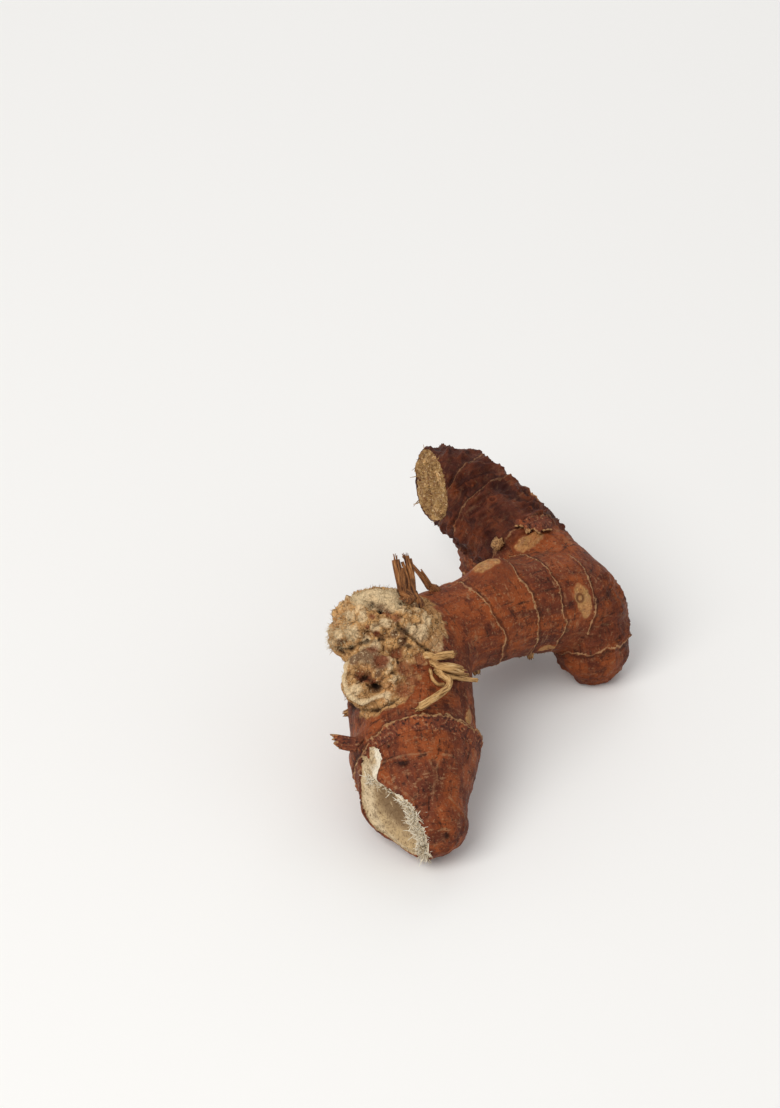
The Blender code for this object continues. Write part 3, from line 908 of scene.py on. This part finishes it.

# Stump cork, from the olive skirt inwards to the cream crest. Its raised nodules are painted paler as a
# painted highlight, and its hollows darker as painted shade.
ragged_links = {0: known["blotch"], 1: 4.0, 2: known["cork"]}
cork_in = add_node(tree, "Math", ragged_links, operation="MULTIPLY_ADD")
cork_links = {"Value": cork_in, "From Min": 1.4, "From Max": 2.9}
cork_mask = add_node(tree, "MapRange", cork_links, interpolation_type="SMOOTHSTEP")
cork_colour = lay_coats(tree, linear(CORK_TAN), known, (
    ("blotch", 0.46, 0.60, 0.8, CORK_OLIVE),
    ("mottle", 0.50, 0.62, 0.6, CORK_ROSE),
    ("cork", 5.0, 2.0, 0.6, CORK_OLIVE),
    ("patch", 0.58, 0.72, 0.4, CORK_BROWN),
    ("rise", 0.1, 0.9, 0.6, CREST_CREAM),
    ("plate", 0.045, 0.0, 0.75, BARK_DARK),
    ("grey", 0.0, 0.5, 0.85, CORK_GREY),
    ("pale", 0.0, 0.5, 0.75, CREST_CREAM),
    ("crest", -0.02, 0.2, 0.8, CREST_CREAM),
    ("rim", 0.75, 0.3, 0.8, CREST_CREAM),
    ("rise", -0.5, -1.4, 0.7, CORK_BROWN),
    ("crumb", 0.06, 0.0, 0.3, CORK_BROWN),
    ("speck", 0.58, 0.70, 0.5, CORK_BROWN),
    ("speck", 0.42, 0.32, 0.6, CREST_CREAM),
    ("dust", 0.60, 0.72, 0.5, CORK_BROWN),
    ("dust", 0.40, 0.28, 0.6, CREST_CREAM),
    ("rust", 0.0, 0.6, 0.65, RUST_RED),
    # Dark stains, and painted shade in gaps and holes.
    ("dark_and_shade", 0.0, 0.7, 0.85, BARK_DARK),
))
colour = coat(tree, colour, cork_colour, cork_mask, 0.0, 1.0, 0.95)

# The chopped face is dry pith, straw at its rim and brown in its hollow; the torn end is all fibre, its
# raised fibres painted paler as a painted highlight and its hollows darker as painted shade.
cut_colour = lay_coats(tree, linear(CUT_CREAM), known, (
    ("blotch", 0.50, 0.66, 0.4, CUT_STRAW),
    ("chop", 2.0, 3.4, 0.7, CUT_STRAW),
    ("chop", 1.0, 0.1, 0.6, CUT_STRAW),
    ("sunk", 0.5, 1.5, 0.8, CUT_BROWN),
    ("patch", 0.50, 0.64, 0.3, CUT_BROWN),
    ("streak", 0.46, 0.34, 0.5, CUT_BROWN),
    ("streak", 0.56, 0.70, 0.5, CREST_CREAM),
    ("speck", 0.55, 0.67, 0.6, CUT_BROWN),
    ("dust", 0.54, 0.66, 0.6, CUT_BROWN),
    ("lip", 2.2, 1.0, 0.85, CUT_WHITE),
))
colour = coat(tree, colour, cut_colour, known["chop"], 0.0, 0.2)
torn_colour = lay_coats(tree, linear(TORN_TAN), known, (
    ("patch", 0.48, 0.62, 0.6, CORK_BROWN),
    ("rise", 0.0, 0.8, 0.8, CORK_TAN),
    ("rise", -0.4, -1.2, 0.9, CORK_BROWN),
    ("speck", 0.52, 0.66, 0.8, CORK_BROWN),
    ("dust", 0.44, 0.32, 0.6, CREST_CREAM),
))
colour = coat(tree, colour, torn_colour, known["tear"], 0.0, 0.15)

# Cracks and the deepest hollows are painted near black: painted shade in the crevices.
colour = coat(tree, colour, linear(CREVICE_SHADE_BLACK), known["crack"], 0.5, 0.1, 0.7)
colour = coat(tree, colour, linear(CREVICE_SHADE_BLACK), known["rise"], -1.8, -3.0, 0.85)
tree.links.new(colour, shader.inputs["Base Color"])

gloss_links = {"Value": known["blotch"], "From Min": 0.3, "From Max": 0.7, "To Min": 0.48, "To Max": 0.7}
gloss = add_node(tree, "MapRange", gloss_links)
roughness = add_node(tree, "Mix", {0: cork_mask, 2: gloss, 3: 0.93})
tree.links.new(roughness, shader.inputs["Roughness"])
shader.inputs["IOR"].default_value = 1.45
shader.inputs["Specular IOR Level"].default_value = 0.18
fine_links = {0: known["speck"], 1: 0.8, 2: known["streak"]}
fine_relief = add_node(tree, "Math", fine_links, operation="MULTIPLY_ADD")
full_links = {0: known["dust"], 1: 0.6, 2: fine_relief}
full_relief = add_node(tree, "Math", full_links, operation="MULTIPLY_ADD")
for name, edge, rise in (("plate", 0.12, 0.8), ("crumb", 0.16, 0.5)):
    span = {"Value": known[name], "From Min": 0.0, "From Max": edge, "To Min": 0.0, "To Max": rise}
    raised = add_node(tree, "MapRange", span, interpolation_type="SMOOTHSTEP")
    raised_links = {0: raised, 1: cork_mask, 2: full_relief}
    full_relief = add_node(tree, "Math", raised_links, operation="MULTIPLY_ADD")
bump_links = {"Height": full_relief, "Strength": 0.8, "Distance": 0.3 * MM}
bump = add_node(tree, "Bump", bump_links)
tree.links.new(bump, shader.inputs["Normal"])

skin_data.materials.clear()
skin_data.materials.append(bark_finish)
rhizome = bpy.data.objects.new("rhizome_bark", skin_data)
bpy.context.scene.collection.objects.link(rhizome)
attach(rhizome, "root")
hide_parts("rhizome")

# Bristles and fibres of the bare plant tissue: short stiff hairs on the crest of the stump, the
# white strings that the knife pulled out along the chopped face, and the coarse ones of the torn end.


def add_strand(bm, run, sides, groove=0.0, flat=1.0, shift=0.0):
    """A strand through centres and radii in mm, closed at both ends, with grooves along it."""
    grain_of = bm.verts.layers.float_vector.get("grain") or bm.verts.layers.float_vector.new("grain")
    side = Vector((0.31, 0.22, 1.0))
    last_ring, travelled = None, 0.0
    for i, (centre, radius) in enumerate(run):
        ahead = (run[min(i + 1, len(run) - 1)][0] - run[max(i - 1, 0)][0]).normalized()
        side = (side - ahead * side.dot(ahead)).normalized()
        turn = Matrix((side, ahead.cross(side), ahead)).transposed().to_4x4()
        shape = Matrix.Translation(centre) @ turn @ Matrix.Diagonal((1.0, flat, 1.0, 1.0))
        circle = bmesh.ops.create_circle(bm, cap_ends=False, segments=sides, radius=radius, matrix=shape)
        travelled += (centre - run[i - 1][0]).length if i else 0.0
        for number, vertex in enumerate(circle["verts"]):
            out = vertex.co - centre
            turned = number / sides * math.tau
            around = Vector((math.cos(turned) * 2.2, math.sin(turned) * 2.2, travelled * 0.12 + shift))
            ridge = noise.noise(around)
            vertex.co = centre + out * (1 + groove * ridge)
            vertex[grain_of] = Vector((travelled, out.dot(side) + shift, out.dot(ahead.cross(side))))
        ring = list({edge for vertex in circle["verts"] for edge in vertex.link_edges})
        if i in (0, len(run) - 1):
            bmesh.ops.contextual_create(bm, geom=ring)
        if last_ring:
            bmesh.ops.bridge_loops(bm, edges=last_ring + ring)
        last_ring = ring


def any_way(dice):
    """A random vector, as likely one way as another."""
    return Vector((dice.gauss(0, 1), dice.gauss(0, 1), dice.gauss(0, 1)))


def add_fibre(bm, dice, foot, way, long, thick, bend):
    """One thin fibre that starts at a foot, leaves along a way and bends as it goes."""
    sway = any_way(dice) * bend * long
    middle = foot + way * long * 0.55 + sway * 0.3
    tip = foot + way * long + sway
    add_strand(bm, ((foot, thick), (middle, thick * 0.8), (tip, thick * 0.35)), 3)


def add_piece(name, bm, finish):
    """Turns a bmesh in mm into a piece of the root in metres."""
    bmesh.ops.scale(bm, vec=(MM, MM, MM), verts=bm.verts)
    bmesh.ops.recalc_face_normals(bm, faces=bm.faces)
    data = bpy.data.meshes.new(name)
    bm.to_mesh(data)
    bm.free()
    data.shade_smooth()
    data.materials.append(finish)
    made = bpy.data.objects.new(name, data)
    bpy.context.scene.collection.objects.link(made)
    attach(made, "root")
    return made


def plant_fibre(name, base, dark_and_shade, pale):
    """Dry plant fibre: dull straw colours in streaks along the strand, painted darker in its grooves as
    painted shade.
    """
    finish, shader = new_finish(name)
    tree = finish.node_tree
    place = add_node(tree, "TexCoord", out="Object")
    grain = add_node(tree, "Attribute", attribute_name="grain", out="Vector")
    stretched = add_node(tree, "Mapping", {"Vector": grain, "Scale": (0.12, 1.0, 1.0)})
    known = add_patterns(tree, {"streak": (0.35, 3, 0.6)}, stretched, 1.0)
    known.update(add_patterns(tree, {"blotch": (3.0, 3, 0.6), "speck": (0.5, 2, 0.6)}, place, 1 / MM))
    colour = lay_coats(tree, linear(base), known, (
        ("streak", 0.52, 0.38, 0.9, dark_and_shade),
        ("streak", 0.56, 0.70, 0.8, pale),
        ("blotch", 0.52, 0.72, 0.6, dark_and_shade),
        ("speck", 0.60, 0.72, 0.5, dark_and_shade),
    ))
    tree.links.new(colour, shader.inputs["Base Color"])
    shader.inputs["Roughness"].default_value = 0.85
    shader.inputs["Specular IOR Level"].default_value = 0.3
    bump_links = {"Height": known["streak"], "Strength": 0.6, "Distance": 0.12 * MM}
    bump = add_node(tree, "Bump", bump_links)
    tree.links.new(bump, shader.inputs["Normal"])
    return finish


FIBRES_A_BATCH = 40


def add_fibres(name, feet, count, seed, way_out, forward, lean, sink, long, thick, bend, finish):
    """A piece of many short fibres, each from a foot on the skin, leaning its own way out of it."""
    dice = random.Random(seed)
    whole = bmesh.new()
    part = bpy.data.meshes.new(name)
    for start in range(0, count, FIBRES_A_BATCH):
        batch = bmesh.new()
        for _n in range(min(FIBRES_A_BATCH, count - start)):
            foot, out = dice.choice(feet)
            out = way_out or out
            way = (out * forward + any_way(dice) * lean).normalized()
            add_fibre(batch, dice, foot - out * sink, way, dice.uniform(*long), dice.uniform(*thick), bend)
        batch.to_mesh(part)
        batch.free()
        whole.from_mesh(part)
    bpy.data.meshes.remove(part)
    return add_piece(name, whole, finish)


cream_fibre = plant_fibre("bleached_stem_fibre", "#DECBA4", "#9C8058", "#F2E8CE")
white_fibre = plant_fibre("bleached_pith_fibre", "#F3EAD6", "#BCA684", "#FBF6EA")
tan_fibre = plant_fibre("dry_stem_fibre", "#B68F5A", "#664628", "#D6B683")

# Each kind of fibre: where it grows, how many there are, the seed of its dice, the way it leaves
# the skin or None for the skin's own, how much it follows that way and how much it leans, how deep
# it is rooted, its length and thickness from and to in mm, how much it bends, and its finish.
FIBRES = (
    ("crest_bristles", "crest", 1500, 3, None, 1.0, 0.35, 0.2, (0.4, 1.1), (0.035, 0.07), 0.3, cream_fibre),
    ("stump_fibres", "cork", 1700, 5, None, 0.5, 0.6, 0.15, (0.3, 0.9), (0.04, 0.08), 0.35, tan_fibre),
    ("chop_fibres", "chop_lip", 1500, 8, CHOP_OUT, 0.4, 0.8, 0.1, (0.5, 1.5), (0.09, 0.2), 0.6, white_fibre),
    ("torn_end_fibres", "tear", 620, 12, TEAR_OUT, 0.7, 0.7, 0.4, (0.5, 1.7), (0.08, 0.24), 0.4, tan_fibre),
    ("ring_fray", "ring", 420, 21, None, 0.35, 0.7, 0.08, (0.3, 0.7), (0.04, 0.08), 0.15, tan_fibre),
)
for name, feet, *nature in FIBRES:
    add_fibres(name, spots[feet], *nature)

# The rootlets dried to straw. The tuft on the front of the stump has six, bent and broken off
# short; three more stand in the crotch behind it. Each is rooted in the bark where it grew.
TUFT = (
    ((-13.7, -24.2, 34.9, 0.7), (-12.2, -24.6, 35.3, 0.7), (-10.2, -23.9, 35.2, 0.8),
     (-8.1, -22.5, 34.6, 0.8)),
    ((-12.7, -26.2, 34.0, 0.8), (-11.0, -27.6, 34.5, 0.9), (-8.8, -27.6, 34.2, 1.0),
     (-5.9, -25.7, 31.9, 0.9)),
    ((-10.5, -26.4, 32.7, 0.4), (-8.8, -26.7, 32.2, 0.4), (-6.6, -25.6, 30.8, 0.4),
     (-4.3, -23.1, 28.5, 0.35)),
    ((-9.6, -28.1, 31.6, 0.5), (-7.6, -27.3, 30.8, 0.5), (-5.4, -25.9, 29.5, 0.5),
     (-2.0, -24.0, 27.5, 0.4)),
    ((-13.6, -28.7, 33.5, 0.4), (-13.1, -31.2, 33.5, 0.4), (-11.8, -32.6, 33.0, 0.4),
     (-10.3, -32.1, 32.5, 0.4)),
    ((-11.5, -28.3, 32.8, 0.7), (-10.1, -30.3, 33.5, 0.8), (-9.0, -32.1, 33.5, 0.8),
     (-9.7, -34.9, 33.4, 0.9),
     (-12.1, -38.3, 33.9, 1.0), (-14.3, -40.2, 33.6, 1.1), (-16.5, -41.4, 32.7, 1.1)),
)
CROTCH = (
    ((-20.1, -13.2, 44.6, 1.1), (-20.7, -12.2, 47.2, 1.0), (-21.3, -10.7, 49.8, 0.9),
     (-22.0, -8.4, 52.9, 0.8)),
    ((-17.8, -11.6, 43.4, 0.8), (-18.1, -10.4, 46.0, 0.8), (-18.5, -8.6, 49.0, 0.7),
     (-19.6, -6.0, 52.2, 0.6)),
    ((-13.2, 1.4, 36.0, 0.6), (-14.7, 2.4, 38.2, 0.6), (-17.4, 4.4, 41.0, 0.5), (-20.2, 6.6, 43.2, 0.4)),
)
ROOTLET_GAP = 0.35
ROOTLET_SWELL = 1.15
ROOTLET_STEP = 0.45
ROOTED_DEEP = 1.2
FRAY_DEEP = 0.7
packed = bmesh.new()
packed.from_mesh(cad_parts["rhizome"].data)
packed_bark = BVHTree.FromBMesh(packed)
packed.free()


def rooted_run(stations, flare):
    """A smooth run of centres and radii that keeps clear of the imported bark, and starts wide inside it."""
    run = []
    for x, y, z, radius in curve_points(stations, ROOTLET_STEP):
        radius *= ROOTLET_SWELL
        centre = Vector((x, y, z))
        foot, out = nearest_on(packed_bark, centre)
        if (centre - foot).dot(out) < radius + ROOTLET_GAP:
            centre = foot + out * (radius + ROOTLET_GAP)
        run.append((centre, radius))
    start, radius = run[0]
    foot, out = nearest_on(bark, start)
    ahead = (run[2][0] - start).normalized()
    neck = foot + out * 0.3 - ahead * 0.8
    root = foot - out * ROOTED_DEEP - ahead * ROOTED_DEEP
    return [(root, radius * flare * 1.2), (neck, radius * flare)] + run


def add_frayed_end(bm, dice, run, count, long):
    """Fibres that stand out of the blunt end of a strand."""
    centre, radius = run[-1]
    ahead = (centre - run[-3][0]).normalized()
    for _n in range(count):
        spread = any_way(dice)
        spread = spread - ahead * spread.dot(ahead)
        spread = spread.normalized() * radius * dice.uniform(0.2, 0.8)
        way = (ahead + spread * 0.25 / radius).normalized()
        reach = FRAY_DEEP + dice.uniform(0.3, 1.0) * long
        add_fibre(bm, dice, centre - ahead * FRAY_DEEP + spread, way, reach, radius * 0.24, 0.08)


straw = plant_fibre("straw_dry_rootlet", "#C79C64", "#6E4722", "#E3C796")
russet = plant_fibre("russet_dry_rootlet", "#8E5A31", "#3C2214", "#C08E5A")

# Each group: how wide its strands start, how many thinner ones run beside each, and its finish.
ROOTLET_GROUPS = (("tuft", TUFT, 1.25, 0, straw), ("crotch", CROTCH, 2.0, 3, russet))
for group, rootlets, flare, beside, finish in ROOTLET_GROUPS:
    for number, stations in enumerate(rootlets, 1):
        dice = random.Random(40 + number)
        strand = bmesh.new()
        run = rooted_run(stations, flare)
        thick = max(station[3] for station in stations)
        add_strand(strand, run, 16, 0.5, 0.72, number * 3.7)
        add_frayed_end(strand, dice, run, 7 if thick > 0.6 else 3, 1.4 * thick)
        for _n in range(beside):
            aside = Vector((dice.uniform(-1, 1), dice.uniform(-1, 1), 0.0)).normalized()
            aside *= dice.uniform(1.0, 1.7)
            kept = run[:round(len(run) * dice.uniform(0.45, 0.95))]
            thin = dice.uniform(0.35, 0.6)
            beside_run = []
            for i, (centre, radius) in enumerate(kept):
                beside_run.append((centre + aside * (0.75 + 0.03 * i), radius * thin))
            add_strand(strand, beside_run, 9, 0.4, 0.8, dice.uniform(0, 9))
        made = add_piece(f"{group}_strand_{number}", strand, finish)
        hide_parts(f"{group}_rootlet_{number}")

# Stubs of rootlets that broke off short, each a pale straw collar of the bark. The thick one is on
# the back of the arm; the others are where roots grew, low on the sides and underneath.
STUBS = (
    ((4.3, 27.6, 31.6), (5.4, 29.9, 34.6), 1.6), ((-1.5, -3.5, 13.4), (-0.8, -4.8, 11.6), 0.9),
    ((12.0, 3.2, 15.0), (12.6, 1.6, 13.4), 0.8), ((-27.0, -33.0, 7.4), (-28.2, -33.6, 5.4), 0.9),
    ((-9.0, -24.0, 7.0), (-7.6, -24.0, 5.4), 1.0), ((-33.0, -24.0, 17.5), (-35.0, -24.4, 16.4), 0.8),
    ((8.0, 47.0, 19.5), (9.4, 47.8, 17.8), 0.8), ((-4.0, 61.5, 26.0), (-4.2, 63.4, 24.6), 0.8),
    ((31.5, 30.0, 15.0), (33.0, 31.4, 13.4), 0.9), ((-20.0, 4.0, 21.0), (-20.8, 5.9, 19.8), 0.8),
)
stubs = bmesh.new()
for number, (start, end, radius) in enumerate(STUBS):
    foot, out = nearest_on(bark, Vector(start))
    ahead = (out + 0.4 * (Vector(end) - Vector(start)).normalized()).normalized()
    run = [(foot - ahead * ROOTED_DEEP, radius * 1.3), (foot + ahead * 0.2, radius * 1.2)]
    run += [(foot + ahead * radius * 0.8, radius), (foot + ahead * radius * 1.5, radius * 0.95)]
    add_strand(stubs, run, 14, 0.5, 0.85, number * 2.3)
    add_frayed_end(stubs, random.Random(60 + number), run, 9, 0.5)
stub_straw = plant_fibre("weathered_root_stub", "#AC8052", "#573722", "#C8A476")
add_piece("root_stubs", stubs, stub_straw)

# Scale leaves are what is left of the leaves that wrapped each node: thin brown paper, one edge
# still held by the bark, the other frayed pale. One stands round the leg as a collar, one sticks
# out on the left of it, and one lies on the rear limb.
COLLAR = (
    ((-26.8, -46.9, 24.6), (-23.8, -46.9, 26.7), (-19.4, -46.0, 28.8), (-14.3, -45.2, 29.0),
     (-9.8, -44.2, 27.7), (-6.1, -43.5, 24.8), (-3.6, -42.2, 21.4), (-2.4, -40.8, 17.6)),
    ((-28.2, -44.8, 24.9), (-25.4, -44.2, 27.6), (-20.0, -43.0, 30.4), (-14.6, -42.2, 30.7),
     (-9.7, -40.9, 29.2), (-5.6, -40.0, 25.9), (-3.0, -38.2, 22.3), (-1.9, -37.2, 18.2)),
)
FLAKE = (
    ((-29.9, -43.2, 24.4), (-30.6, -42.9, 22.9), (-31.2, -42.6, 21.3), (-31.7, -42.2, 19.6)),
    ((-37.4, -41.4, 24.6), (-37.3, -41.4, 23.2), (-36.7, -41.5, 21.7), (-35.6, -41.6, 20.2)),
)
FLAP = (
    ((8.9, 31.2, 36.3), (11.7, 32.8, 36.7), (15.2, 35.4, 35.8), (18.2, 33.6, 34.6)),
    ((8.8, 29.2, 35.5), (11.6, 27.5, 35.2), (14.9, 26.9, 34.9), (17.8, 28.8, 34.6)),
)
LEAF_ROWS = 9
LEAF_SPACING = 0.4
LEAF_EDGE = "#B0875A"


def add_leaf(name, edges, lift, ragged, thick, finish, node):
    """A papery scale from its held edge to its free one, following the bark as it lifts away."""
    held, free = [curve_points(edge, LEAF_SPACING) for edge in edges]
    columns = min(len(held), len(free))
    leaf = bmesh.new()
    grain_of = leaf.verts.layers.float_vector.new("grain")
    edge_of = leaf.verts.layers.float.new("edge")
    grid = bmesh.ops.create_grid(leaf, x_segments=columns - 1, y_segments=LEAF_ROWS, size=1.0)
    ordered = sorted(grid["verts"], key=lambda vertex: (round(vertex.co.x, 4), vertex.co.y))
    for i, vertex in enumerate(ordered):
        column, row = divmod(i, LEAF_ROWS + 1)
        down = row / LEAF_ROWS
        start = held[column * (len(held) - 1) // (columns - 1)]
        end = free[column * (len(free) - 1) // (columns - 1)]
        tatter = noise.noise(Vector((column * 0.31, 2.0, lift)))
        tatter += 0.6 * noise.noise(Vector((column * 0.9, 5.0, lift)))
        reach = down * (1 + ragged * tatter * down)
        between = start.lerp(end, reach)
        foot, out = nearest_on(bark, between)
        ripple = 0.3 * lift * noise.noise(Vector((column * 0.22, down * 1.5, 3.0)))
        rise = -0.25 + (0.45 + ripple) * down ** 0.5 + lift * reach ** 2
        vertex.co = between if (between - foot).dot(out) > rise else foot + out * rise
        vertex[grain_of] = Vector((down * (end - start).length, column * LEAF_SPACING, 0))
        vertex[edge_of] = down
    made = add_piece(name, leaf, finish)
    paper = made.modifiers.new("paper", "SOLIDIFY")
    paper.thickness = thick * MM
    paper.offset = 0.0
    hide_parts(node)
    return made


# Papery scale leaf: the bark's brown, fibrous lengthwise, bleached along its torn edge.
leaf_finish, shader = new_finish("papery_scale_leaf")
tree = leaf_finish.node_tree
place = add_node(tree, "TexCoord", out="Object")
grain = add_node(tree, "Attribute", attribute_name="grain", out="Vector")
edge = add_node(tree, "Attribute", attribute_name="edge", out="Fac")
fibre = add_node(tree, "Mapping", {"Vector": grain, "Scale": (0.2, 1.0, 1.0)})
known = add_patterns(tree, {"streak": (0.6, 3, 0.65)}, fibre, 1.0)
known.update(add_patterns(tree, {"blotch": (4.0, 3, 0.6), "speck": (0.7, 2, 0.6)}, place, 1 / MM))
colour = lay_coats(tree, linear(BARK_RED), known, (
    ("blotch", 0.48, 0.34, 0.9, BARK_ORANGE),
    ("blotch", 0.54, 0.68, 0.8, BARK_PLUM),
    ("streak", 0.54, 0.70, 0.7, BARK_ORANGE),
    ("streak", 0.46, 0.34, 0.7, BARK_DARK),
    ("speck", 0.56, 0.70, 0.7, BARK_DUST),
    ("speck", 0.46, 0.34, 0.9, BARK_DARK),
))
bleached = add_node(tree, "Math", {0: known["speck"], 1: 0.35, 2: edge}, operation="MULTIPLY_ADD")
colour = coat(tree, colour, linear(LEAF_EDGE), bleached, 1.06, 1.2, 0.9)
tree.links.new(colour, shader.inputs["Base Color"])
shader.inputs["Roughness"].default_value = 0.8
shader.inputs["Specular IOR Level"].default_value = 0.3
bump = add_node(tree, "Bump", {"Height": known["streak"], "Strength": 0.6, "Distance": 0.2 * MM})
tree.links.new(bump, shader.inputs["Normal"])

add_leaf("collar_scale", COLLAR, 0.6, 0.09, 0.35, leaf_finish, "scale_collar")
add_leaf("side_scale", FLAKE, 1.6, 0.3, 0.45, leaf_finish, "scale_flake")
add_leaf("rear_scale", FLAP, 0.9, 0.3, 0.4, leaf_finish, "scale_flap")
